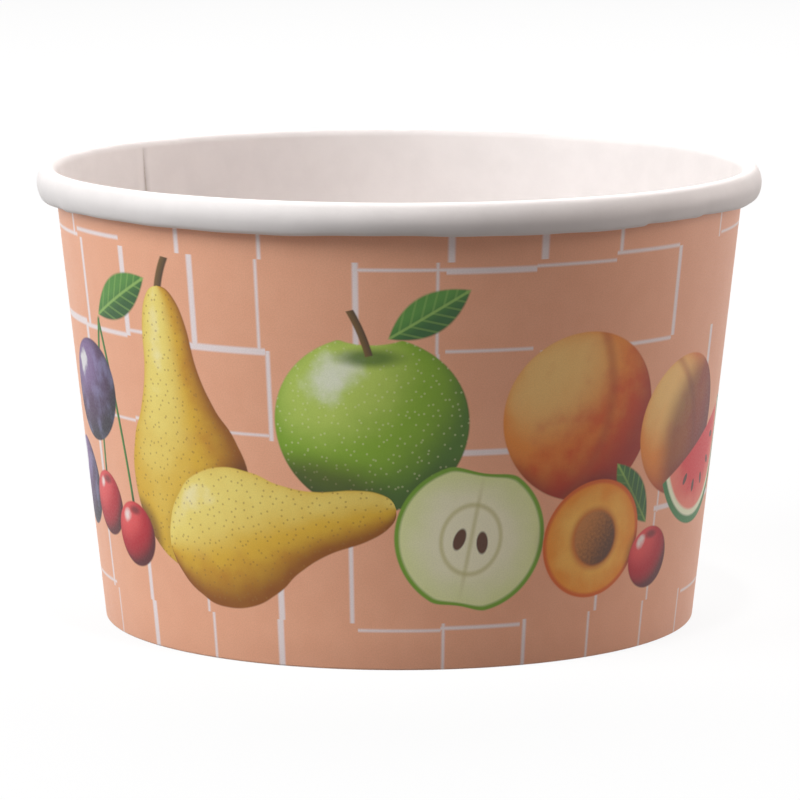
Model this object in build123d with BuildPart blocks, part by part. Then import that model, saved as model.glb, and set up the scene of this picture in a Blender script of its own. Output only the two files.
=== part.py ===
"""Paper dessert cup: a lapped, printed sidewall with a rolled rim and a folded foot,
and a bottom disc whose skirt is locked in that fold.

Millimetres, +Z up. The origin is the centre of the foot, on the table.
"""
import os
from math import asin, atan2, ceil, cos, degrees, hypot, radians, sin, tan

from build123d import *

# Overall sizes
rim_diameter = 95.0
base_diameter = 77.8
cup_height = 59.8

# Board
board = 0.36
disc_board = 0.32
glue_line = 0.02

# Rolled rim: an oval roll of three tangent arcs, measured on the white face of the board.
# The side arc reaches curl_side_angle above and below the widest point of the rim.
curl_top_radius = 1.18
curl_side_radius = 2.95
curl_side_angle = 30.0
curl_tuck_angle = 55.0
curl_gap = 0.06
flat_turn = 30.0

# Foot: the board is folded inwards and up over the skirt of the disc
hem_height = 6.0
fold_bevel = 0.3

# Bottom disc
disc_height = 7.4
disc_bevel = 0.4

# Lapped side seam, pressed flat: the free edge of the inner layer stands at seam_angle
seam_angle = 141.4
lap_width = 7.0
lap_step = 0.22
jog_length = 1.6
run_out = 0.02

# Lean of the wall: its outer face runs from the foot to the inner side of the roll
curl_center_r = (
    rim_diameter / 2
    - curl_side_radius
    + (curl_side_radius - curl_top_radius) * cos(radians(curl_side_angle))
)
curl_center_z = cup_height - curl_top_radius
foot_to_curl_r = curl_center_r - base_diameter / 2
inner_roll_radius = curl_top_radius - board
wall_lean = degrees(
    atan2(foot_to_curl_r, curl_center_z)
    - asin(inner_roll_radius / hypot(foot_to_curl_r, curl_center_z))
)
lean_cos = cos(radians(wall_lean))
lean_sin = sin(radians(wall_lean))

# Lower arc of the roll: it brings the tail up beside the wall, curl_gap away from it
side_above = cos(radians(curl_side_angle + wall_lean))
side_below = cos(radians(curl_side_angle - wall_lean))
curl_low_radius = (
    curl_top_radius
    + (curl_top_radius - curl_side_radius) * side_above
    + curl_side_radius * side_below
    - board
    - curl_gap
) / (1 + side_below)
curl_height = (
    curl_top_radius
    + curl_low_radius
    + (2 * curl_side_radius - curl_top_radius - curl_low_radius) * sin(radians(curl_side_angle))
)
curl_bottom = cup_height - curl_height
top_turn = 180 - wall_lean - curl_side_angle
low_turn = 180 + wall_lean - curl_side_angle + curl_tuck_angle

# Fits of the foot: the skirt of the disc stands between the wall and the hem
skirt_slot = disc_board + 2 * glue_line
skirt_depth = board + glue_line
skirt_end = board + glue_line
hem_depth = board + skirt_slot

# Heights of the side seam
lap_bottom = fold_bevel + run_out
lap_top = curl_bottom - curl_gap
groove_bottom = disc_height
groove_top = curl_center_z


def cone_radius(depth, height):
    """Radius, at a height, of the cone that lies depth inside the wall's outer face."""
    return base_diameter / 2 + height * tan(radians(wall_lean)) - depth / lean_cos


def on_wall(depth, height):
    """Point of the section on that cone, at that height."""
    return (cone_radius(depth, height), height)


def half_plane(angle):
    """Plane through the cup's axis, with its x direction at this angle about +Z."""
    a = radians(angle)
    return Plane(origin=(0, 0, 0), x_dir=(cos(a), sin(a), 0), z_dir=(sin(a), -cos(a), 0))


def roll(depth):
    """Points of the rolled rim in section, from the top of the wall to the tucked tail.

    The white face of the board has depth 0, and its printed face has depth board. Each arc
    becomes flats that turn by flat_turn at most.
    """
    radius = curl_top_radius - depth
    start = (curl_center_r - radius * lean_cos, curl_center_z + radius * lean_sin)
    top = JernArc(start, (lean_sin, lean_cos), radius, -top_turn)
    side = JernArc(top @ 1, top % 1, curl_side_radius - depth, -2 * curl_side_angle)
    low = JernArc(side @ 1, side % 1, curl_low_radius - depth, -low_turn)
    points = [top @ 0]
    for arc, turn in ((top, top_turn), (side, 2 * curl_side_angle), (low, low_turn)):
        flats = ceil(turn / flat_turn)
        points += [arc @ (i / flats) for i in range(1, flats + 1)]
    return points


def wall_strip(inner_depth, outer_depth, bottom, top):
    """Draw a strip in section that follows the wall's slope between two depths."""
    Polygon(
        on_wall(inner_depth, bottom),
        on_wall(outer_depth, bottom),
        on_wall(outer_depth, top),
        on_wall(inner_depth, top),
        align=None,
    )


# Sidewall: one sheet of board, with its rolled rim, its folded foot and its lapped seam
white_face = [
    on_wall(hem_depth, hem_height),
    on_wall(hem_depth, board),
    on_wall(board, board),
    *roll(0),
]
print_face = [
    on_wall(hem_depth + board, hem_height),
    on_wall(hem_depth + board, fold_bevel),
    (cone_radius(hem_depth + board, 0) + fold_bevel, 0),
    (cone_radius(0, 0) - fold_bevel, 0),
    on_wall(0, fold_bevel),
    *roll(board),
]
mid_radius = cone_radius(0, cup_height / 2)
lap_angle = degrees(lap_width / mid_radius)
jog_angle = degrees(jog_length / mid_radius)
inside_air = board + 2 * lap_step

with BuildPart() as sidewall:
    with BuildSketch(Plane.XZ):
        with BuildLine():
            Polyline(*white_face, *reversed(print_face), close=True)
        make_face()
    revolve(axis=Axis.Z)

    # Outer layer of the lap, with its free edge lap_width away from the inner one
    with BuildSketch(half_plane(seam_angle - lap_angle)):
        wall_strip(board / 2, -lap_step, lap_bottom, lap_top)
    revolve(axis=Axis.Z, revolution_arc=lap_angle)

    # The same layer steps back to the wall just past the free edge of the inner layer
    with BuildSketch(half_plane(seam_angle)):
        wall_strip(board / 2, -lap_step, lap_bottom, lap_top)
    with BuildSketch(half_plane(seam_angle + jog_angle)):
        wall_strip(board / 2, run_out, lap_bottom, lap_top)
    loft(ruled=True)

    # Inside, the free edge leaves a step that fades out over the same length
    with BuildSketch(half_plane(seam_angle)):
        wall_strip(inside_air, board - lap_step, groove_bottom, groove_top)
    with BuildSketch(half_plane(seam_angle + jog_angle)):
        wall_strip(inside_air, board + run_out, groove_bottom, groove_top)
    loft(ruled=True, mode=Mode.SUBTRACT)

# Bottom disc: a flat disc with its edge turned down into a skirt
disc_under = disc_height - disc_board

with BuildPart() as bottom_disc:
    with BuildSketch(Plane.XZ):
        with BuildLine():
            Polyline(
                (0, disc_height),
                (cone_radius(skirt_depth, disc_height) - disc_bevel, disc_height),
                on_wall(skirt_depth, disc_height - disc_bevel),
                on_wall(skirt_depth, skirt_end),
                on_wall(skirt_depth + disc_board, skirt_end),
                on_wall(skirt_depth + disc_board, disc_under),
                (0, disc_under),
                close=True,
            )
        make_face()
    revolve(axis=Axis.Z)

sidewall.part.label = "sidewall"
bottom_disc.part.label = "bottom_disc"

os.makedirs("parts", exist_ok=True)
export_step(sidewall.part, "parts/sidewall.step")
export_step(bottom_disc.part, "parts/bottom_disc.step")
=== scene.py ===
import math

import bmesh
import bpy
from mathutils import Matrix, Vector


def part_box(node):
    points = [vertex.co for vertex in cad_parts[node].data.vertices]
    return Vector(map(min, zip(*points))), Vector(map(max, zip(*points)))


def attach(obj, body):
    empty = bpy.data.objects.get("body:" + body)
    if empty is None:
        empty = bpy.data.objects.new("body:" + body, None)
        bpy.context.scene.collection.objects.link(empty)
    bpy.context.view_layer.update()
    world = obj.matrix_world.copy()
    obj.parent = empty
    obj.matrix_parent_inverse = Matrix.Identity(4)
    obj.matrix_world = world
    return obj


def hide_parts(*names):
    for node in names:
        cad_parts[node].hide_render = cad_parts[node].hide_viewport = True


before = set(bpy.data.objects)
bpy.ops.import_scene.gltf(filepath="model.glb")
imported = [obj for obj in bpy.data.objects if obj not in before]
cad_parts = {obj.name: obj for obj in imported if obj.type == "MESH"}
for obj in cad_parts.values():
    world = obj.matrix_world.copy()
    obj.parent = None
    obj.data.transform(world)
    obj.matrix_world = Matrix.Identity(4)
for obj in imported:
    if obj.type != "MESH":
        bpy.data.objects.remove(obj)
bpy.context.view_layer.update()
mm = 0.001
zAxis = (0, 0, 1)
yAxis = (0, 1, 0)
noShift = (0, 0, 0)


def addObject(name, data):
    item = bpy.data.objects.new(name, data)
    bpy.context.scene.collection.objects.link(item)
    return item


def meshObject(bm, name, materials):
    mesh = bpy.data.meshes.new(name)
    bm.to_mesh(mesh)
    bm.free()
    for material in materials:
        mesh.materials.append(material)
    return addObject(name, mesh)


# camera, at the photo's viewing angle
photoCamera = {
    "place": (0.0001, -0.64042, 0.12793),
    "tilt": 81.156,
    "lens": 220.43,
    "sensor": 36.0,
}


def addCamera(look):
    data = bpy.data.cameras.new("photoCamera")
    data.lens = look["lens"]
    data.sensor_width = look["sensor"]
    camera = addObject("photoCamera", data)
    camera.location = look["place"]
    camera.rotation_euler = (math.radians(look["tilt"]), 0, 0)
    bpy.context.scene.camera = camera
    print("camera placed")


# helpers for the board: a section is drawn as a wire in the XZ plane and then swept round Z
def smoothStep(value, start, end):
    share = min(max((value - start) / (end - start), 0.0), 1.0)
    return share * share * (3 - 2 * share)


def pull(bm, tip, radius, height, runs=1):
    start, end = tip.co.copy(), Vector((radius, 0, height))
    for run in range(1, runs + 1):
        tip = bmesh.ops.extrude_vert_indiv(bm, verts=[tip])["verts"][0]
        tip.co = start.lerp(end, run / runs)
    return tip


def bend(bm, tip, centre, turn, steps):
    made = bmesh.ops.spin(bm, geom=[tip], cent=centre, axis=yAxis, dvec=noShift,
                          angle=math.radians(turn), steps=steps)
    return made["geom_last"][0]


def markAlong(start, along):  # every vertex of the wire learns its distance along the board
    here, came, length = start, None, 0.0
    while True:
        here[along] = length
        ahead = [edge for edge in here.link_edges if edge is not came]
        if not ahead:
            return
        came = ahead[0]
        length += came.calc_length()
        here = came.other_vert(here)


def closeSweep(bm, reach):  # the upper side of the highest faces is the outside of the sheet
    bmesh.ops.remove_doubles(bm, verts=bm.verts[:], dist=reach)
    bmesh.ops.recalc_face_normals(bm, faces=bm.faces[:])
    highest = max(bm.faces, key=lambda face: face.calc_center_median().z)
    if highest.normal.z < 0:
        bmesh.ops.reverse_faces(bm, faces=bm.faces[:])


def angleOf(point):
    return math.degrees(math.atan2(point.y, point.x))


def finishPiece(bm, name, materials, node, sharpAngle):
    for face in bm.faces:
        face.smooth = True
    for edge in bm.edges:
        edge.smooth = edge.calc_face_angle(0) < math.radians(sharpAngle)
    bmesh.ops.scale(bm, vec=(mm, mm, mm), verts=bm.verts)
    piece = meshObject(bm, name, materials)
    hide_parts(node)
    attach(piece, "root")


# sidewall: one sheet of board, in millimetres and degrees, measured on its white face
sidewallBoard = {
    "footRadius": 38.9,
    "thickness": 0.36,
    "skirtSlot": 0.36,  # room between the wall and the hem
    "hemHeight": 6.0,
    "foldRound": 0.3,
    "foldSteps": 4,
    "foldReach": 0.5,  # length of the fold that is baked with the wall's print
    "curlTop": 1.18,  # radii of the upper two of the rolled rim's three arcs
    "curlSide": 2.95,
    "curlSideHalf": 30.0,
    "curlTuck": 55.0,
    "curlGap": 0.06,
    "curlDrop": 0.16,  # the loose lower edge of the roll sags by this much
    "kinkRise": 0.15,  # share of a kink's run in which the edge steps up
    "curlSteps": (16, 8, 20),
    "seamAngle": 141.4,  # free edge of the inner layer
    "lapWidth": 7.0,
    "lapStep": 0.22,
    "jogLength": 1.6,
    "edgeWidth": 0.03,
    "grooveStart": 7.4,
    "grooveFade": (-2.4, 0.5),  # from below the roll to just above its start
    "roundSteps": 360,
    "lapSteps": 8,
    "jogSteps": 6,
    "wallRuns": 14,
    "sharpAngle": 40.0,
}
# the lower edge of the roll isn't quite even: turns round the cup, phase and height of each wave
curlWaves = ((3, 0.6, 0.05), (7, 0.035, 0.1), (13, 4.0, 0.04), (29, 2.2, 0.03))
# kinks of that edge: angle, step up, and the run in degrees over which it comes back
curlKinks = ((-156.0, 0.28, -7.0), (-49.3, 0.34, 9.0), (-36.2, 0.36, 14.0),
             (75.0, 0.25, -8.0), (20.0, 0.2, 12.0))
printedFace, whiteFace, cutEdge = 0, 1, 2


def sidewallSizes(board):
    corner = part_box("sidewall")[1] / mm
    half = math.radians(board["curlSideHalf"])
    top, side = board["curlTop"], board["curlSide"]
    centreR = corner.x - side + (side - top) * math.cos(half)
    centreZ = corner.z - top
    run = centreR - board["footRadius"]
    lean = math.atan2(run, centreZ) - math.asin((top - board["thickness"]) / math.hypot(run, centreZ))
    below = math.cos(half - lean)
    room = (top + (top - side) * math.cos(half + lean) + side * below
            - board["thickness"] - board["curlGap"])
    meanRadius = board["footRadius"] + math.tan(lean) * corner.z / 2
    return {
        "centre": Vector((centreR, 0, centreZ)),
        "lean": lean,
        "curlLow": room / (1 + below),
        "meanRadius": meanRadius,
        "lapAngle": math.degrees(board["lapWidth"] / meanRadius),
        "jogAngle": math.degrees(board["jogLength"] / meanRadius),
        "edgeAngle": math.degrees(board["edgeWidth"] / meanRadius),
    }


wall = sidewallSizes(sidewallBoard)


def coneRadius(depth, height):  # the cone that lies this deep inside the wall's outer face
    foot = sidewallBoard["footRadius"]
    return foot + height * math.tan(wall["lean"]) - depth / math.cos(wall["lean"])


def drawSidewall(bm, board, along):  # hem, fold, wall and rolled rim in one wire
    thick = board["thickness"]
    hemDepth = thick + board["skirtSlot"]
    lean = math.degrees(wall["lean"])
    centre = wall["centre"]
    start = bm.verts.new((coneRadius(hemDepth, board["hemHeight"]), 0, board["hemHeight"]))
    hemFoot = pull(bm, start, coneRadius(hemDepth, thick), thick)
    wallFoot = pull(bm, hemFoot, coneRadius(thick, thick), thick)
    rollStart = pull(bm, wallFoot, centre.x - board["curlTop"] * math.cos(wall["lean"]),
                     centre.z + board["curlTop"] * math.sin(wall["lean"]), board["wallRuns"])
    radii = (board["curlTop"], board["curlSide"], wall["curlLow"])
    turns = (
        180 - lean - board["curlSideHalf"],
        2 * board["curlSideHalf"],
        180 + lean - board["curlSideHalf"] + board["curlTuck"],
    )
    tip = rollStart
    ends = []
    for radius, turn, steps in zip(radii, turns, board["curlSteps"]):
        centre = tip.co + (centre - tip.co).normalized() * radius
        tip = bend(bm, tip, centre, turn, steps)
        ends.append(tip)
    markAlong(start, along)
    names = ("hemFoot", "wallFoot", "rollStart", "rollSide", "rollLow", "tail")
    return dict(zip(names, [vert[along] for vert in (hemFoot, wallFoot, rollStart, *ends)]))


def sweepSidewall(bm, board):  # columns gather at the lap, where the two layers end
    bmesh.ops.rotate(bm, verts=bm.verts, cent=noShift,
                     matrix=Matrix.Rotation(math.radians(board["seamAngle"]), 3, "Z"))
    lap, jog, edge = wall["lapAngle"], wall["jogAngle"], wall["edgeAngle"]
    stages = (
        (jog, board["jogSteps"]),
        (360 - jog - lap, board["roundSteps"]),
        (edge, 1),
        (lap - 2 * edge, board["lapSteps"]),
        (edge, 1),
    )
    column = bm.verts[:] + bm.edges[:]
    for turn, steps in stages:
        made = bmesh.ops.spin(bm, geom=column, cent=noShift, axis=zAxis, dvec=noShift,
                              angle=math.radians(turn), steps=steps)
        column = made["geom_last"]
    closeSweep(bm, board["edgeWidth"] / 4)


def thickenSidewall(bm, board, along, side, stations):
    for face in bm.faces:
        face.material_index = whiteFace
    inside = set(bm.faces)
    grown = bmesh.ops.solidify(bm, geom=bm.faces[:], thickness=board["thickness"])["geom"]
    for item in grown:
        if isinstance(item, bmesh.types.BMVert):
            item[side] = 1.0
        elif isinstance(item, bmesh.types.BMFace):
            item.material_index = printedFace
    outside = set(item for item in grown if isinstance(item, bmesh.types.BMFace))
    for face in bm.faces:
        if face not in inside and face not in outside:
            face.material_index = cutEdge
    near = board["edgeWidth"] / 10
    corners = (stations["hemFoot"], stations["wallFoot"])
    folds = []
    for edge in bm.edges:
        ends = edge.verts
        onFold = any(all(abs(vert[along] - corner) < near for vert in ends) for corner in corners)
        if onFold and all(vert[side] > 0.5 for vert in ends):
            folds.append(edge)
    bmesh.ops.bevel(bm, geom=folds, offset=board["foldRound"], offset_type="OFFSET", affect="EDGES",
                    segments=board["foldSteps"], profile=0.5, material=-1)


def pastLap(point):  # degrees past the free edge of the outer layer
    return (angleOf(point) - sidewallBoard["seamAngle"] + wall["lapAngle"]) % 360


def curlEdge(turn):  # how far the lower edge of the roll strays up or down at this angle
    stray = -sidewallBoard["curlDrop"]
    for waves, phase, high in curlWaves:
        stray += high * math.sin(math.radians(waves * turn) + phase)
    for spot, high, run in curlKinks:
        past = ((turn - spot + 180) % 360 - 180) / run
        stray += high * smoothStep(past, 0.0, sidewallBoard["kinkRise"]) * math.exp(-max(past, 0.0))
    return stray


def pressSeam(bm, board, along, side, stations):
    lap, jog, edge = wall["lapAngle"], wall["jogAngle"], wall["edgeAngle"]
    bm.normal_update()
    normals = [vert.normal.copy() for vert in bm.verts]
    near = board["edgeWidth"]
    for vert, normal in zip(bm.verts, normals):
        past = pastLap(vert.co)
        length = vert[along]
        outward = Vector((vert.co.x, vert.co.y, 0)).normalized()
        fade = 1 - smoothStep(past, lap, lap + jog)
        turn = angleOf(vert.co)
        lifted = fade if edge / 2 < past < lap + jog else 0.0
        dropped = fade if lap - edge / 2 < past < lap + jog else 0.0
        if vert[side] > 0.5:
            share = 1.0 if length > stations["wallFoot"] - near else 0.0
            vert.co += outward * (board["lapStep"] * lifted * share)
        else:
            share = smoothStep(length, stations["rollStart"], stations["rollSide"])
            vert.co += outward * (board["lapStep"] * lifted * share)
            low, high = board["grooveFade"]
            onWall = vert.co.z > board["grooveStart"] and length > stations["wallFoot"] + near
            share = 1 - smoothStep(length - stations["rollStart"], low, high) if onWall else 0.0
            vert.co -= normal * (board["lapStep"] * dropped * share)
        loose = smoothStep(length, stations["rollSide"], stations["rollLow"])
        vert.co.z += curlEdge(turn) * loose


def edgeFaces(bm, along, stations):  # the raw ends of the board at the lap
    lap, edge = wall["lapAngle"], wall["edgeAngle"]
    for face in bm.faces:
        past = pastLap(face.calc_center_median())
        printed = face.material_index == printedFace
        length = sum(vert[along] for vert in face.verts) / len(face.verts)
        if length > stations["wallFoot"] and face.material_index != cutEdge:
            if printed and past < edge and length < stations["rollSide"]:
                face.material_index = cutEdge
            if not printed and lap - edge < past < lap and length < stations["rollStart"]:
                face.material_index = cutEdge


# places in the baked picture: lower and upper edge of each band, as shares of its height
bakeBands = {
    "front": (0.585, 0.995),
    "back": (0.170, 0.580),
    "white": (0.055, 0.160),
    "hidden": (0.022, 0.050),
    "cut": (0.003, 0.018),
}
bakeEnds = (0.012, 0.988)


def unrollSidewall(bm, along, stations):
    printMap = bm.loops.layers.uv.new("print")
    bakeMap = bm.loops.layers.uv.new("OFBake")
    front = pastLap(Vector((0, -1, 0)))
    left = front - 90
    foot, under, tail = stations["wallFoot"], stations["rollSide"], stations["tail"]
    lowest = foot - sidewallBoard["foldReach"]
    for face in bm.faces:
        middle = pastLap(face.calc_center_median())
        length = sum(vert[along] for vert in face.verts) / len(face.verts)
        outside = face.material_index == printedFace and lowest < length < under
        turned = (middle - left) % 360
        for loop in face.loops:
            past = middle + (pastLap(loop.vert.co) - middle + 180) % 360 - 180
            reach = loop.vert[along]
            loop[printMap].uv = (math.radians(past - front) * wall["meanRadius"], reach - foot)
            round360 = (turned + past - middle) / 360
            if outside:
                band = "front" if turned < 180 else "back"
                across = 2 * round360 - (0 if turned < 180 else 1)
                up = (reach - foot) / (under - foot)
            elif face.material_index == whiteFace:
                band, across, up = "white", round360, reach / tail
            elif face.material_index == printedFace:
                band, across, up = "hidden", round360, reach / tail
            else:
                band, across, up = "cut", round360, reach / tail
            low, high = bakeBands[band]
            begin, end = bakeEnds
            up = min(max(up, 0.0), 1.0)
            loop[bakeMap].uv = (begin + (end - begin) * across, low + (high - low) * up)


def makeSidewall(board, materials):
    bm = bmesh.new()
    along = bm.verts.layers.float.new("along")
    side = bm.verts.layers.float.new("printedSide")
    stations = drawSidewall(bm, board, along)
    sweepSidewall(bm, board)
    thickenSidewall(bm, board, along, side, stations)
    pressSeam(bm, board, along, side, stations)
    edgeFaces(bm, along, stations)
    unrollSidewall(bm, along, stations)
    print("sidewall", len(bm.faces), "faces, volume", round(bm.calc_volume(signed=True)), "cubic mm")
    finishPiece(bm, "sidewallSheet", materials, "sidewall", board["sharpAngle"])


# bottom disc: a round of white board with its edge turned down into the hem
discBoard = {
    "thickness": 0.32,
    "skirtDepth": 0.38,
    "skirtEnd": 0.38,
    "edgeRound": 0.4,
    "roundSteps": 160,
    "edgeSteps": 5,
    "flatRuns": 15,
    "crown": 0.18,
    "sharpAngle": 40.0,
}


def makeDisc(board, materials):
    bm = bmesh.new()
    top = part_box("bottom_disc")[1].z / mm
    turnHeight = top - board["edgeRound"]
    turnRadius = coneRadius(board["skirtDepth"] + board["edgeRound"], turnHeight)
    start = bm.verts.new((0, 0, top))
    edge = pull(bm, start, turnRadius, top, board["flatRuns"])
    skirt = bend(bm, edge, (turnRadius, 0, turnHeight), 90 + math.degrees(wall["lean"]), board["edgeSteps"])
    pull(bm, skirt, coneRadius(board["skirtDepth"], board["skirtEnd"]), board["skirtEnd"])
    bmesh.ops.spin(bm, geom=bm.verts[:] + bm.edges[:], cent=noShift, axis=zAxis, dvec=noShift,
                   angle=math.radians(360), steps=board["roundSteps"], use_merge=True)
    closeSweep(bm, board["thickness"] / 100)
    bmesh.ops.solidify(bm, geom=bm.faces[:], thickness=board["thickness"])
    for vert in bm.verts:  # the middle of the disc bows down a little
        reach = vert.co.xy.length
        if reach < turnRadius - board["edgeRound"]:
            vert.co.z -= board["crown"] * (1 - (reach / turnRadius) ** 2)
    print("bottom disc", len(bm.faces), "faces, volume", round(bm.calc_volume(signed=True)), "cubic mm")
    finishPiece(bm, "bottomRound", materials, "bottom_disc", board["sharpAngle"])


# nodes: helpers that add nodes to a tree and hand back an output
def feed(tree, node, values):
    for socket, value in zip(node.inputs, values):
        if isinstance(value, bpy.types.NodeSocket):
            tree.links.new(value, socket)
        elif value is not None:
            socket.default_value = value
    return node


def sums(tree, operation, *values, clamp=False):
    node = feed(tree, tree.nodes.new("ShaderNodeMath"), values)
    node.operation = operation
    node.use_clamp = clamp
    return node.outputs[0]


def points(tree, operation, *values):
    node = feed(tree, tree.nodes.new("ShaderNodeVectorMath"), values)
    node.operation = operation
    return node.outputs["Value" if operation in ("LENGTH", "DOT_PRODUCT") else "Vector"]


def rise(tree, value, start, end, low=0.0, high=1.0):
    node = tree.nodes.new("ShaderNodeMapRange")
    node.interpolation_type = "SMOOTHSTEP"
    return feed(tree, node, (value, start, end, low, high)).outputs[0]


def tint(tree, amount, under, over, blend="MIX"):
    node = tree.nodes.new("ShaderNodeMix")
    node.data_type = "RGBA"
    node.blend_type = blend
    feed(tree, node, (amount, None, None, None, None, None, under, over))
    return node.outputs[2]


def placed(tree, sheet, spot, size, turn=0.0):
    node = tree.nodes.new("ShaderNodeMapping")
    node.vector_type = "TEXTURE"
    feed(tree, node, (sheet, (*spot, 0), (0, 0, math.radians(turn)), (*size, 1)))
    return node.outputs[0]


def parts(tree, vector):
    node = feed(tree, tree.nodes.new("ShaderNodeSeparateXYZ"), (vector,))
    return node.outputs[0], node.outputs[1]


def grain(tree, vector, scale, detail=2.0, rough=0.5, flat=True):
    node = tree.nodes.new("ShaderNodeTexNoise")
    node.noise_dimensions = "2D" if flat else "3D"
    feed(tree, node, (vector, None, scale, detail, rough))
    return node.outputs[0]


grainSpan = (0.3, 0.7)  # most of a grain lies between these


def ink(red, green, blue):  # screen colour to the linear colour that a socket takes
    def linear(value):
        value /= 255
        return value / 12.92 if value <= 0.04045 else ((value + 0.055) / 1.055) ** 2.4
    return (linear(red), linear(green), linear(blue), 1.0)


def seenRays(tree):  # rays by which the camera sees a thing, straight or in a shiny or clear surface
    rays = tree.nodes.new("ShaderNodeLightPath").outputs
    seen = sums(tree, "MAXIMUM", rays["Is Camera Ray"], rays["Is Glossy Ray"])
    return sums(tree, "MAXIMUM", seen, rays["Is Transmission Ray"])


def newMaterial(name):
    material = bpy.data.materials.new(name)
    material.use_nodes = True
    tree = material.node_tree
    return material, tree, tree.nodes["Principled BSDF"]


def bumpUp(tree, height, distance, strength, shader):
    node = tree.nodes.new("ShaderNodeBump")
    node.inputs["Strength"].default_value = strength
    node.inputs["Distance"].default_value = distance
    tree.links.new(height, node.inputs["Height"])
    tree.links.new(node.outputs["Normal"], shader.inputs["Normal"])


# white board: coated inside of the cup, roll and disc
whiteBoard = {
    "bright": ink(228, 221, 218),
    "dull": ink(224, 217, 214),
    "mottle": (260.0, 3.0),  # scale and detail of a grain
    "fibre": (2600.0, 3.0, 0.6),
    "roughness": (0.52, 0.62),
    "mottleBump": 0.6,
    "bump": (0.00002, 0.3),
}


def makeWhiteBoard(look):
    material, tree, shader = newMaterial("whiteBoard")
    spots = tree.nodes.new("ShaderNodeTexCoord").outputs["Object"]
    mottle = grain(tree, spots, *look["mottle"], flat=False)
    colour = tint(tree, rise(tree, mottle, *grainSpan), look["bright"], look["dull"])
    tree.links.new(colour, shader.inputs["Base Color"])
    fibre = grain(tree, spots, *look["fibre"], flat=False)
    tree.links.new(rise(tree, fibre, *grainSpan, *look["roughness"]), shader.inputs["Roughness"])
    bumpUp(tree, sums(tree, "MULTIPLY_ADD", mottle, look["mottleBump"], fibre), *look["bump"], shader)
    return material


# raw board where the sheet was cut
rawEdge = {
    "core": ink(226, 218, 210),
    "dark": ink(200, 190, 180),
    "fibre": (5200.0, 4.0, 0.65),
    "darkSpan": (0.35, 0.75),
    "roughness": 0.9,
}


def makeRawEdge(look):
    material, tree, shader = newMaterial("rawEdge")
    spots = tree.nodes.new("ShaderNodeTexCoord").outputs["Object"]
    fibre = grain(tree, spots, *look["fibre"], flat=False)
    colour = tint(tree, rise(tree, fibre, *look["darkSpan"]), look["core"], look["dark"])
    tree.links.new(colour, shader.inputs["Base Color"])
    shader.inputs["Roughness"].default_value = look["roughness"]
    return material


# printed board: inks over the white sheet, in millimetres on the unrolled wall, from the front's middle
printSheet = {
    "repeat": 132.7,  # the picture comes twice round the cup
    "tall": 500.0,  # far more than the sheet, so that the picture doesn't repeat upwards
    "peach": ink(240, 175, 141),
    "peachDeep": ink(238, 172, 138),
    "light": (-0.42, 0.56, 0.71),  # painted light on the fruit
    "shadeToSkin": (-0.2, 0.6),  # light at which the inks of a fruit change
    "skinToLight": (0.5, 1.02),
    "edge": 0.28,  # width of a soft outline
    "shadeDrop": (0.5, -0.2),
    "shadeGrow": 1.6,
    "shadeFade": (1.05, 0.7),
    "shadeDepth": 0.75,
    "mottle": (0.3, 3.0),  # scale and detail of a grain
    "fine": (2.4, 2.0),
    "speckScale": 0.85,
    "speck": (0.17, 0.07),
    "screen": (5.5, 1.0),
    "screenSpan": (0.25, 0.75),
    "screenDepth": (0.93, 1.0),
    "fibre": (3.2, 3.0, 0.6),
    "roughness": (0.42, 0.54),
    "bump": (0.00002, 0.3),
}
tileLines = {
    "columns": 12,
    "rows": 100,  # more than the wall has
    "rowHeight": 11.6,
    "uprightGaps": 0.34,  # share of the lines left out
    "levelGaps": 0.52,
    "seeds": (3.7, 8.2),
    "stray": 2.4,
    "widths": (0.17, 0.50),
    "thinBias": 2.0,  # thin lines are more common
    "soft": 0.2,
    "colour": ink(243, 231, 231),
    "cover": 0.9,
}
fruitInks = {
    "pear": (ink(158, 104, 26), ink(222, 176, 54), ink(247, 226, 126)),
    "apple": (ink(66, 98, 26), ink(132, 168, 46), ink(198, 218, 104)),
    "peach": (ink(172, 76, 38), ink(236, 146, 66), ink(251, 204, 128)),
    "plum": (ink(24, 14, 32), ink(68, 36, 74), ink(132, 104, 150)),
    "cherry": (ink(78, 6, 16), ink(176, 22, 38), ink(228, 84, 84)),
    "leaf": (ink(40, 84, 36), ink(84, 138, 58), ink(150, 186, 98)),
    "stem": (ink(70, 48, 24), ink(112, 84, 44), ink(156, 128, 80)),
    "flesh": (ink(247, 241, 208), ink(226, 230, 166), ink(112, 152, 44)),
    "apricot": (ink(250, 192, 96), ink(238, 150, 56), ink(214, 100, 40)),
    "melon": (ink(220, 58, 62), ink(238, 132, 112), ink(50, 112, 54)),
    "blush": ink(214, 92, 78),
    "russet": ink(196, 128, 70),
    "bloom": ink(150, 150, 190),
    "core": ink(200, 192, 128),
    "seed": ink(78, 44, 24),
    "hollow": ink(196, 104, 42),
    "rind": ink(240, 241, 208),
    "dots": ink(238, 240, 190),
    "freckles": ink(150, 106, 44),
    "shine": ink(255, 252, 244),
    "shade": ink(120, 92, 66),
}
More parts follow.
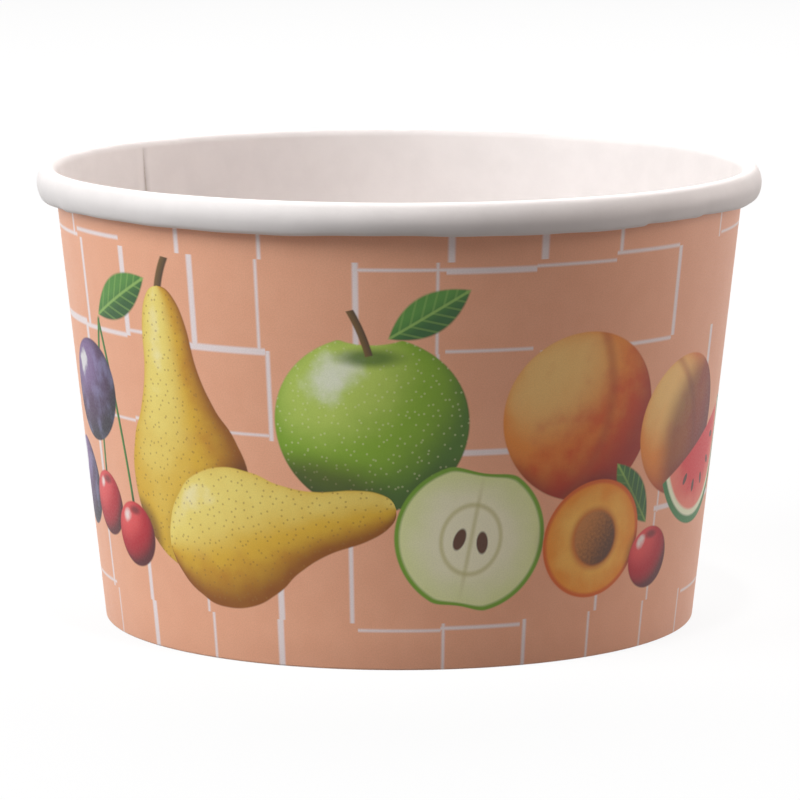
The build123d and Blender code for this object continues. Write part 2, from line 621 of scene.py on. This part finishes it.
# pear outline: height share from bottom to top, half width share
pearOutline = ((0.0, 0.0), (0.03, 0.36), (0.11, 0.72), (0.22, 0.95), (0.33, 1.0), (0.46, 0.88), (0.58, 0.63),
               (0.72, 0.45), (0.86, 0.38), (0.95, 0.27), (1.0, 0.0))
fruitRow = (
    {"kind": "leaf", "spot": (-40.0, 45.5), "size": (2.9, 6.6), "turn": -62.0},
    {"kind": "stem", "spot": (-48.9, 20.2), "size": (0.36, 22.4), "turn": -2.9, "bend": 6.0, "inks": "leaf"},
    {"kind": "stem", "spot": (-41.2, 17.1), "size": (0.36, 25.4), "turn": 5.9, "bend": -6.0, "inks": "leaf"},
    {"kind": "stem", "spot": (-32.2, 46.4), "size": (0.75, 5.4), "turn": -8.0, "bend": 1.4, "inks": "stem"},
    {"kind": "plum", "spot": (-50.5, 32.0), "size": (7.6, 6.8), "turn": 24.0},
    {"kind": "pear", "spot": (-30.5, 29.2), "size": (10.4, 18.6), "turn": 5.0},
    {"kind": "leaf", "spot": (3.6, 45.6), "size": (2.7, 6.0), "turn": -58.0},
    {"kind": "apple", "spot": (-3.5, 31.6), "size": (12.4, 11.5), "turn": 0.0},
    {"kind": "stem", "spot": (-3.6, 40.2), "size": (0.6, 6.4), "turn": 14.0, "bend": -1.4, "inks": "stem"},
    {"kind": "peach", "spot": (24.5, 31.6), "size": (11.6, 11.0), "turn": -12.0},
    {"kind": "peach", "spot": (44.0, 28.4), "size": (9.8, 9.3), "turn": 16.0},
    {"kind": "melon", "spot": (50.5, 25.6), "size": (11.4, 11.4), "turn": 24.0, "front": True},
    {"kind": "plum", "spot": (-58.5, 18.8), "size": (6.4, 5.9), "turn": -20.0, "front": True},
    {"kind": "cherry", "spot": (-49.0, 17.2), "size": (4.6, 4.4), "turn": 0.0, "front": True},
    {"kind": "cherry", "spot": (-41.4, 14.2), "size": (4.6, 4.4), "turn": 0.0, "front": True},
    {"kind": "pear", "spot": (-17.0, 17.2), "size": (9.3, 17.0), "turn": -78.0, "front": True},
    {"kind": "appleHalf", "spot": (9.4, 16.8), "size": (10.2, 9.8), "turn": -10.0, "front": True},
    {"kind": "leaf", "spot": (33.8, 20.6), "size": (2.5, 5.6), "turn": 38.0},
    {"kind": "apricotHalf", "spot": (27.4, 15.4), "size": (8.2, 7.8), "turn": 14.0, "front": True},
    {"kind": "cherry", "spot": (38.4, 11.6), "size": (4.4, 4.2), "turn": 0.0, "front": True},
)
# how each kind is painted, in shares of its size and of the light on it: a band has a start, an end and
# two strengths, and a patch has a place, a size, a turn, a start, an end and a strength
fruitForms = {
    "plum": {"rough": 0.3, "bloom": (0.42, 0.72, 0.0, 0.34), "shine": (0.7, 0.93)},
    "cherry": {"rough": 0.1, "shine": (0.95, 0.95), "dip": ((0.05, 0.72), (0.42, 0.2), 0.0, 1.0, 0.2, 0.75)},
    "peach": {
        "rough": 0.2,
        "blushSide": (0.75, -0.5, 0),
        "blushMottle": 1.3,
        "blush": (-0.5, 0.75, 0.0, 0.85),
        "bow": 0.34,
        "crease": (0.13, 0.0, 0.0, 0.5),
    },
    "apple": {
        "rough": 0.14,
        "dots": 0.32,
        "shine": (0.7, 0.9),
        "dip": ((0.0, 0.74), (0.46, 0.15), 0.0, 1.0, 0.25, 0.85),
        "pinch": ((0.0, 1.03), (0.42, 0.16), 0.0, 1.0, 0.85),
    },
    "pear": {
        "light": 0.84,
        "upLight": 0.7,
        "narrowest": 0.02,
        "rough": 0.16,
        "russet": (0.6, 1.7, 0.0, 0.6),
        "russetMottle": 1.2,
        "freckles": 0.5,
        "shine": (0.4, 0.9),
    },
    "appleHalf": {
        "dent": ((0.0, 1.0), (0.5, 0.42), 0.0, 1.0, 0.0, 0.16),
        "dimple": ((0.0, -1.0), (0.4, 0.3), 0.0, 1.0, 0.0, 0.1),
        "wavy": 0.3,
        "flesh": (0.35, 1.0),
        "heartOval": ((0.0, -0.02), (0.42, 0.5)),
        "heartReach": 0.92,
        "heart": (0.12, 0.0, 0.0, 0.7),
        "middle": (0.05, 0.0, 0.0, 0.6),
        "middleEnds": (0.95, 0.3),
        "seedPlace": (0.15, -0.04),
        "seedSize": (0.085, 0.17),
        "seedTurn": 10.0,
        "seedEdge": (1.0, 0.75),
        "skin": (0.9, 0.95),
    },
    "apricotHalf": {
        "wavy": 0.5,
        "flesh": (0.4, 0.95),
        "hollow": ((0.02, 0.0), (0.56, 0.6), 0.0, 1.0, 0.7),
        "stoneOval": ((0.03, 0.0), (0.45, 0.5)),
        "stoneLight": (-0.5, 0.6, 0),
        "stoneGrain": 0.7,
        "stone": (-0.4, 1.2),
        "stoneEdge": (1.0, 0.85),
        "skin": (0.88, 0.95),
    },
    "melon": {
        "wavy": 0.3,
        "flesh": (0.45, 0.85),
        "seedAngles": (-152, -121, -90, -59, -28),
        "seedReach": 0.55,
        "seedSize": (0.045, 0.085),
        "seedEdge": (1.0, 0.7),
        "rind": (0.8, 0.85),
        "skin": (0.88, 0.92),
    },
    "leaf": {
        "shade": (-0.5, 0.5),
        "veinSlant": 0.45,
        "veinTurns": 24.0,
        "veins": (0.5, 1.0, 0.0, 0.35),
        "midrib": (0.1, 0.02, 0.0, 0.8),
        "softness": 1.5,
    },
    "stem": {"shade": (-0.9, 0.9), "edge": (1.0, 0.6), "foot": (0.0, 0.04), "tip": (1.0, 0.97)},
}


def tileStreaks(tree, across, along, pitch, length, count, seed, gaps, look):  # lines that run one way
    column = sums(tree, "DIVIDE", across, pitch)
    run = sums(tree, "ADD", sums(tree, "DIVIDE", along, length), 0.5)
    run = sums(tree, "FLOORED_MODULO", sums(tree, "FLOOR", run), count)
    cell = feed(tree, tree.nodes.new("ShaderNodeCombineXYZ"), (sums(tree, "FLOOR", column), run, seed))
    chance = feed(tree, tree.nodes.new("ShaderNodeTexWhiteNoise"), (cell.outputs[0],))
    split = feed(tree, tree.nodes.new("ShaderNodeSeparateXYZ"), (chance.outputs["Color"],))
    offset = sums(tree, "MULTIPLY", sums(tree, "SUBTRACT", split.outputs[1], 0.5), look["stray"])
    inCell = sums(tree, "SUBTRACT", sums(tree, "FRACT", column), 0.5)
    away = sums(tree, "ABSOLUTE", sums(tree, "MULTIPLY_ADD", inCell, pitch, offset))
    thin, thick = look["widths"]
    heavy = sums(tree, "POWER", split.outputs[2], look["thinBias"])
    width = sums(tree, "MULTIPLY_ADD", heavy, thick - thin, thin)
    line = rise(tree, sums(tree, "SUBTRACT", width, away), -look["soft"], look["soft"])
    return sums(tree, "MULTIPLY", line, sums(tree, "GREATER_THAN", split.outputs[0], gaps))


def drawTiles(tree, sheet, under, look, repeat):
    across, up = parts(tree, sheet)
    pitch, height = repeat / look["columns"], look["rowHeight"]
    seed, otherSeed = look["seeds"]
    upright = tileStreaks(tree, across, up, pitch, height, look["rows"], seed, look["uprightGaps"], look)
    level = tileStreaks(tree, up, across, height, pitch, look["columns"], otherSeed, look["levelGaps"], look)
    lines = sums(tree, "MULTIPLY", sums(tree, "MAXIMUM", upright, level), look["cover"])
    return tint(tree, lines, under, look["colour"])


def turnedLight(turn):
    x, y, z = printSheet["light"]
    turn = math.radians(turn)
    return (x * math.cos(turn) + y * math.sin(turn), y * math.cos(turn) - x * math.sin(turn), z)


def roughen(tree, value, marks, amount):  # the mottle shifts a value up and down
    return sums(tree, "MULTIPLY_ADD", sums(tree, "SUBTRACT", marks["mottle"], 0.5), amount, value)


def roundShade(tree, spot, look, marks, rough):  # light on a ball, and the square of a point's distance out
    x, y, z = turnedLight(look["turn"])
    square = points(tree, "DOT_PRODUCT", spot, spot)
    bulge = sums(tree, "SQRT", sums(tree, "SUBTRACT", 1.0, square))
    lit = sums(tree, "MULTIPLY_ADD", bulge, z, points(tree, "DOT_PRODUCT", spot, (x, y, 0)))
    return roughen(tree, lit, marks, rough), square


def skin(tree, lit, inks):
    colour = tint(tree, rise(tree, lit, *printSheet["shadeToSkin"]), inks[0], inks[1])
    return tint(tree, rise(tree, lit, *printSheet["skinToLight"]), colour, inks[2])


def shine(tree, lit, colour, amount, start):  # start is the light at which it sets in
    full = printSheet["skinToLight"][1]
    return tint(tree, rise(tree, lit, start, full, 0.0, amount), colour, fruitInks["shine"])


def softEdge(look):  # width of a soft outline, as a share of the fruit's own size
    return printSheet["edge"] / min(look["size"])


def ballOutline(tree, square, look):
    return rise(tree, square, 1.0, 1.0 - 2 * softEdge(look))


def sliceOutline(tree, reach, look):
    return rise(tree, reach, 1.0, 1.0 - softEdge(look))


def spotOn(tree, spot, place, size, turn, start, end, amount=1.0):  # a soft round patch on a fruit
    near = points(tree, "LENGTH", placed(tree, spot, place, size, turn))
    return rise(tree, near, start, end, 0.0, amount)


# painters: each hands back the colour of one fruit and the mask that it fills
def drawPlum(tree, spot, look, marks):
    form = fruitForms["plum"]
    lit, square = roundShade(tree, spot, look, marks, form["rough"])
    colour = skin(tree, lit, fruitInks["plum"])
    colour = tint(tree, rise(tree, marks["mottle"], *form["bloom"]), colour, fruitInks["bloom"])
    colour = shine(tree, lit, colour, *form["shine"])
    return colour, ballOutline(tree, square, look)


def drawCherry(tree, spot, look, marks):
    form = fruitForms["cherry"]
    lit, square = roundShade(tree, spot, look, marks, form["rough"])
    colour = skin(tree, lit, fruitInks["cherry"])
    colour = shine(tree, lit, colour, *form["shine"])
    colour = tint(tree, spotOn(tree, spot, *form["dip"]), colour, fruitInks["cherry"][0])
    return colour, ballOutline(tree, square, look)


def drawPeach(tree, spot, look, marks):
    form = fruitForms["peach"]
    lit, square = roundShade(tree, spot, look, marks, form["rough"])
    colour = skin(tree, lit, fruitInks["peach"])
    side = points(tree, "DOT_PRODUCT", spot, form["blushSide"])
    warm = roughen(tree, side, marks, form["blushMottle"])
    colour = tint(tree, rise(tree, warm, *form["blush"]), colour, fruitInks["blush"], "MULTIPLY")
    across, up = parts(tree, spot)
    bow = sums(tree, "MULTIPLY_ADD", sums(tree, "MULTIPLY", up, up), -form["bow"], form["bow"])
    crease = sums(tree, "ABSOLUTE", sums(tree, "SUBTRACT", across, bow))
    colour = tint(tree, rise(tree, crease, *form["crease"]), colour, fruitInks["peach"][0])
    return colour, ballOutline(tree, square, look)


def drawApple(tree, spot, look, marks):
    form = fruitForms["apple"]
    lit, square = roundShade(tree, spot, look, marks, form["rough"])
    colour = skin(tree, lit, fruitInks["apple"])
    colour = tint(tree, sums(tree, "MULTIPLY", marks["dots"], form["dots"]), colour, fruitInks["dots"])
    colour = shine(tree, lit, colour, *form["shine"])
    colour = tint(tree, spotOn(tree, spot, *form["dip"]), colour, fruitInks["apple"][0])
    pinch = spotOn(tree, spot, *form["pinch"])
    return colour, sums(tree, "SUBTRACT", ballOutline(tree, square, look), pinch, clamp=True)


def pearWidth(tree, up):  # half width of a pear at each height
    curve = tree.nodes.new("ShaderNodeFloatCurve")
    stops = curve.mapping.curves[0].points
    for stop, place in zip(stops, pearOutline):
        stop.location = place
    for place in pearOutline[len(stops):]:
        stops.new(*place)
    curve.mapping.update()
    tree.links.new(sums(tree, "MULTIPLY_ADD", up, 0.5, 0.5), curve.inputs["Value"])
    return curve.outputs[0]


def drawPear(tree, spot, look, marks):
    form = fruitForms["pear"]
    across, up = parts(tree, spot)
    width = pearWidth(tree, up)
    ratio = sums(tree, "DIVIDE", across, sums(tree, "MAXIMUM", width, form["narrowest"]))
    bulge = sums(tree, "SQRT", sums(tree, "SUBTRACT", 1.0, sums(tree, "MULTIPLY", ratio, ratio)))
    x, y, z = turnedLight(look["turn"])
    level = form["light"] / math.hypot(x, z)
    lit = sums(tree, "MULTIPLY_ADD", bulge, z * level, sums(tree, "MULTIPLY", ratio, x * level))
    lit = sums(tree, "MULTIPLY_ADD", sums(tree, "MULTIPLY", up, width), y * form["upLight"], lit)
    lit = roughen(tree, lit, marks, form["rough"])
    colour = skin(tree, lit, fruitInks["pear"])
    warm = sums(tree, "MULTIPLY_ADD", marks["mottle"], form["russetMottle"], ratio)
    colour = tint(tree, rise(tree, warm, *form["russet"]), colour, fruitInks["russet"], "MULTIPLY")
    freckles = sums(tree, "MULTIPLY", marks["dots"], form["freckles"])
    colour = tint(tree, freckles, colour, fruitInks["freckles"])
    colour = shine(tree, lit, colour, *form["shine"])
    inside = sums(tree, "SUBTRACT", width, sums(tree, "ABSOLUTE", across))
    return colour, rise(tree, inside, 0.0, softEdge(look))


def drawAppleHalf(tree, spot, look, marks):
    form = fruitForms["appleHalf"]
    inks = fruitInks["flesh"]
    across, up = parts(tree, spot)
    reach = sums(tree, "ADD", points(tree, "LENGTH", spot), spotOn(tree, spot, *form["dent"]))
    reach = sums(tree, "ADD", reach, spotOn(tree, spot, *form["dimple"]))
    wavy = roughen(tree, reach, marks, form["wavy"])
    colour = tint(tree, rise(tree, wavy, *form["flesh"]), inks[0], inks[1])
    near = points(tree, "LENGTH", placed(tree, spot, *form["heartOval"]))
    heart = sums(tree, "ABSOLUTE", sums(tree, "SUBTRACT", near, form["heartReach"]))
    colour = tint(tree, rise(tree, heart, *form["heart"]), colour, fruitInks["core"])
    middle = sums(tree, "MULTIPLY", rise(tree, sums(tree, "ABSOLUTE", across), *form["middle"]),
                  rise(tree, sums(tree, "ABSOLUTE", up), *form["middleEnds"]))
    colour = tint(tree, middle, colour, fruitInks["core"])
    right, high = form["seedPlace"]
    for side in (-1, 1):
        place = (right * side, high)
        seed = spotOn(tree, spot, place, form["seedSize"], form["seedTurn"] * side, *form["seedEdge"])
        colour = tint(tree, seed, colour, fruitInks["seed"])
    colour = tint(tree, rise(tree, reach, *form["skin"]), colour, inks[2])
    return colour, sliceOutline(tree, reach, look)


def drawApricotHalf(tree, spot, look, marks):
    form = fruitForms["apricotHalf"]
    inks = fruitInks["apricot"]
    reach = points(tree, "LENGTH", spot)
    wavy = roughen(tree, reach, marks, form["wavy"])
    colour = tint(tree, rise(tree, wavy, *form["flesh"]), inks[0], inks[1])
    colour = tint(tree, spotOn(tree, spot, *form["hollow"]), colour, fruitInks["hollow"])
    kernel = placed(tree, spot, *form["stoneOval"])
    lit = points(tree, "DOT_PRODUCT", kernel, form["stoneLight"])
    lit = sums(tree, "MULTIPLY_ADD", marks["fine"], form["stoneGrain"], lit)
    stone = tint(tree, rise(tree, lit, *form["stone"]), fruitInks["seed"], fruitInks["russet"])
    onStone = rise(tree, points(tree, "LENGTH", kernel), *form["stoneEdge"])
    colour = tint(tree, onStone, colour, stone)
    colour = tint(tree, rise(tree, reach, *form["skin"]), colour, inks[2])
    return colour, sliceOutline(tree, reach, look)


def drawMelon(tree, spot, look, marks):  # half a slice, its straight side up
    form = fruitForms["melon"]
    inks = fruitInks["melon"]
    reach = points(tree, "LENGTH", spot)
    wavy = roughen(tree, reach, marks, form["wavy"])
    colour = tint(tree, rise(tree, wavy, *form["flesh"]), inks[0], inks[1])
    for angle in form["seedAngles"]:
        turn = math.radians(angle)
        place = (form["seedReach"] * math.cos(turn), form["seedReach"] * math.sin(turn))
        seed = spotOn(tree, spot, place, form["seedSize"], angle + 90, *form["seedEdge"])
        colour = tint(tree, seed, colour, fruitInks["seed"])
    colour = tint(tree, rise(tree, reach, *form["rind"]), colour, fruitInks["rind"])
    colour = tint(tree, rise(tree, reach, *form["skin"]), colour, inks[2])
    below = rise(tree, parts(tree, spot)[1], 0.0, -softEdge(look))
    return colour, sums(tree, "MULTIPLY", sliceOutline(tree, reach, look), below)


def drawLeaf(tree, spot, look, marks):
    form = fruitForms["leaf"]
    inks = fruitInks["leaf"]
    across, up = parts(tree, spot)
    width = sums(tree, "SUBTRACT", 1.0, sums(tree, "MULTIPLY", up, up))
    aside = sums(tree, "ABSOLUTE", across)
    colour = tint(tree, rise(tree, across, *form["shade"]), inks[1], inks[0])
    slant = sums(tree, "MULTIPLY_ADD", aside, -form["veinSlant"], up)
    veins = sums(tree, "SINE", sums(tree, "MULTIPLY", slant, form["veinTurns"]))
    colour = tint(tree, rise(tree, veins, *form["veins"]), colour, inks[2])
    colour = tint(tree, rise(tree, aside, *form["midrib"]), colour, inks[2])
    inside = sums(tree, "SUBTRACT", width, aside)
    return colour, rise(tree, inside, 0.0, form["softness"] * softEdge(look))


def drawStem(tree, spot, look, marks):  # a stroke from its foot up, bowed to one side
    form = fruitForms["stem"]
    inks = fruitInks[look["inks"]]
    across, up = parts(tree, spot)
    bow = sums(tree, "MULTIPLY", sums(tree, "MULTIPLY", up, up), look["bend"])
    off = sums(tree, "SUBTRACT", across, bow)
    colour = tint(tree, rise(tree, off, *form["shade"]), inks[1], inks[0])
    mask = rise(tree, sums(tree, "ABSOLUTE", off), *form["edge"])
    ends = sums(tree, "MULTIPLY", rise(tree, up, *form["foot"]), rise(tree, up, *form["tip"]))
    return colour, sums(tree, "MULTIPLY", mask, ends)


def castShade(tree, sheet, look, covered):  # soft shade of a fruit, only on the fruit behind it
    (right, up), (width, height) = look["spot"], look["size"]
    drop, grow = printSheet["shadeDrop"], printSheet["shadeGrow"]
    spot = placed(tree, sheet, (right + drop[0], up + drop[1]), (width + grow, height + grow), look["turn"])
    away = points(tree, "LENGTH", spot)
    dark = rise(tree, away, *printSheet["shadeFade"], 0.0, printSheet["shadeDepth"])
    return sums(tree, "MULTIPLY", dark, covered)


fruitPainters = {
    "plum": drawPlum,
    "cherry": drawCherry,
    "peach": drawPeach,
    "apple": drawApple,
    "pear": drawPear,
    "appleHalf": drawAppleHalf,
    "apricotHalf": drawApricotHalf,
    "melon": drawMelon,
    "leaf": drawLeaf,
    "stem": drawStem,
}


def printMarks(tree, sheet, look):  # mottle, fine grain and dots that the fruit share
    speck = tree.nodes.new("ShaderNodeTexVoronoi")
    speck.voronoi_dimensions = "2D"
    feed(tree, speck, (sheet, None, look["speckScale"]))
    return {
        "mottle": grain(tree, sheet, *look["mottle"]),
        "fine": grain(tree, sheet, *look["fine"]),
        "dots": rise(tree, speck.outputs["Distance"], *look["speck"]),
    }


def makePrintedBoard(look):
    material, tree, shader = newMaterial("printedBoard")
    uv = tree.nodes.new("ShaderNodeUVMap")
    uv.uv_map = "print"
    half, tall = look["repeat"] / 2, look["tall"]
    sheet = points(tree, "WRAP", uv.outputs[0], (half, tall, 1), (-half, -tall, -1))
    marks = printMarks(tree, sheet, look)
    colour = tint(tree, rise(tree, marks["mottle"], *grainSpan), look["peach"], look["peachDeep"])
    colour = drawTiles(tree, sheet, colour, tileLines, look["repeat"])
    covered = 0.0
    for fruit in fruitRow:
        if fruit.get("front"):
            dark = castShade(tree, sheet, fruit, covered)
            colour = tint(tree, dark, colour, fruitInks["shade"], "MULTIPLY")
        spot = placed(tree, sheet, fruit["spot"], fruit["size"], fruit["turn"])
        paint, mask = fruitPainters[fruit["kind"]](tree, spot, fruit, marks)
        colour = tint(tree, mask, colour, paint)
        covered = sums(tree, "MAXIMUM", covered, mask)
    screen = grain(tree, uv.outputs[0], *look["screen"])
    screen = rise(tree, screen, *look["screenSpan"], *look["screenDepth"])
    colour = points(tree, "SCALE", colour, None, None, screen)
    tree.links.new(colour, shader.inputs["Base Color"])
    fibre = grain(tree, uv.outputs[0], *look["fibre"])
    tree.links.new(rise(tree, fibre, *grainSpan, *look["roughness"]), shader.inputs["Roughness"])
    bumpUp(tree, fibre, *look["bump"], shader)
    print("print", len(fruitRow), "fruit and leaves,", len(tree.nodes), "nodes")
    return material


# floor and light
studioFloor = {
    "reach": 4.0,
    "colour": ink(126, 126, 126),  # light that the floor throws back on the cup
    "seenColour": ink(248, 248, 248),
    "whiteShare": 0.9,
    "roughness": 0.9,
    "specular": 0.2,
}


def makeFloor(look):
    bm = bmesh.new()
    bmesh.ops.create_grid(bm, x_segments=1, y_segments=1, size=look["reach"])
    material, tree, shader = newMaterial("studioFloor")
    shader.inputs["Base Color"].default_value = look["colour"]
    shader.inputs["Roughness"].default_value = look["roughness"]
    shader.inputs["Specular IOR Level"].default_value = look["specular"]
    white = tree.nodes.new("ShaderNodeEmission")
    shaded = feed(tree, tree.nodes.new("ShaderNodeBsdfDiffuse"), (look["seenColour"],))
    paper = tree.nodes.new("ShaderNodeMixShader")
    feed(tree, paper, (look["whiteShare"], shaded.outputs[0], white.outputs[0]))
    mix = tree.nodes.new("ShaderNodeMixShader")
    feed(tree, mix, (seenRays(tree), shader.outputs[0], paper.outputs[0]))
    tree.links.new(mix.outputs[0], tree.nodes["Material Output"].inputs["Surface"])
    floor = meshObject(bm, "studioFloor", (material,))
    print("floor laid")


coolLight, skyLight = (0.94, 0.975, 1.0), (0.86, 0.95, 1.0)
warmLight, plainLight = (1.0, 0.94, 0.92), (1.0, 1.0, 1.0)
studioLights = {
    "leftKey": {"turn": 207.0, "rise": 37.0, "away": 1.1, "size": 0.6, "watts": 9.3, "colour": coolLight},
    "leftLow": {"turn": 195.0, "rise": 16.0, "away": 1.1, "size": 0.45, "watts": 2.4, "colour": skyLight},
    "rightEdge": {"turn": 20.0, "rise": 8.0, "away": 1.1, "size": 0.5, "watts": 4.0, "colour": warmLight},
    "rightFill": {"turn": 335.0, "rise": 35.0, "away": 1.2, "size": 0.6, "watts": 2.4, "colour": warmLight},
    "backLight": {"turn": 90.0, "rise": 45.0, "away": 1.1, "size": 0.9, "watts": 8.2, "colour": plainLight},
    "overCup": {"turn": 275.0, "rise": 78.0, "away": 0.7, "size": 0.09, "watts": 0.018, "colour": plainLight,
                "spread": 8.0},
}
lightTarget = Vector((0, 0, 0.035))
ambient = {"colour": ink(255, 235, 228), "strength": 0.15}


def addLights(lights):
    for name, look in lights.items():
        data = bpy.data.lights.new(name, "AREA")
        data.size = look["size"]
        data.energy = look["watts"]
        data.color = look["colour"]
        data.spread = math.radians(look.get("spread", 180.0))
        lamp = addObject(name, data)
        turn, lift = math.radians(look["turn"]), math.radians(look["rise"])
        towards = Vector((math.cos(lift) * math.cos(turn), math.cos(lift) * math.sin(turn), math.sin(lift)))
        lamp.location = lightTarget + towards * look["away"]
        lamp.rotation_euler = towards.to_track_quat("Z", "Y").to_euler()
    print("lights set")


def addAir(look):  # soft light from all sides, in front of a white background
    world = bpy.data.worlds.new("studioAir")
    bpy.context.scene.world = world
    world.use_nodes = True
    tree = world.node_tree
    room = tree.nodes["Background"]
    room.inputs["Color"].default_value = look["colour"]
    room.inputs["Strength"].default_value = look["strength"]
    white = tree.nodes.new("ShaderNodeBackground")
    white.inputs["Color"].default_value = (1, 1, 1, 1)
    mix = tree.nodes.new("ShaderNodeMixShader")
    feed(tree, mix, (seenRays(tree), room.outputs[0], white.outputs[0]))
    tree.links.new(mix.outputs[0], tree.nodes["World Output"].inputs["Surface"])
    bpy.context.scene.view_settings.view_transform = "Standard"
    print("background set")


addCamera(photoCamera)
white = makeWhiteBoard(whiteBoard)
raw = makeRawEdge(rawEdge)
printed = makePrintedBoard(printSheet)
makeSidewall(sidewallBoard, (printed, white, raw))
makeDisc(discBoard, (white,))
makeFloor(studioFloor)
addLights(studioLights)
addAir(ambient)
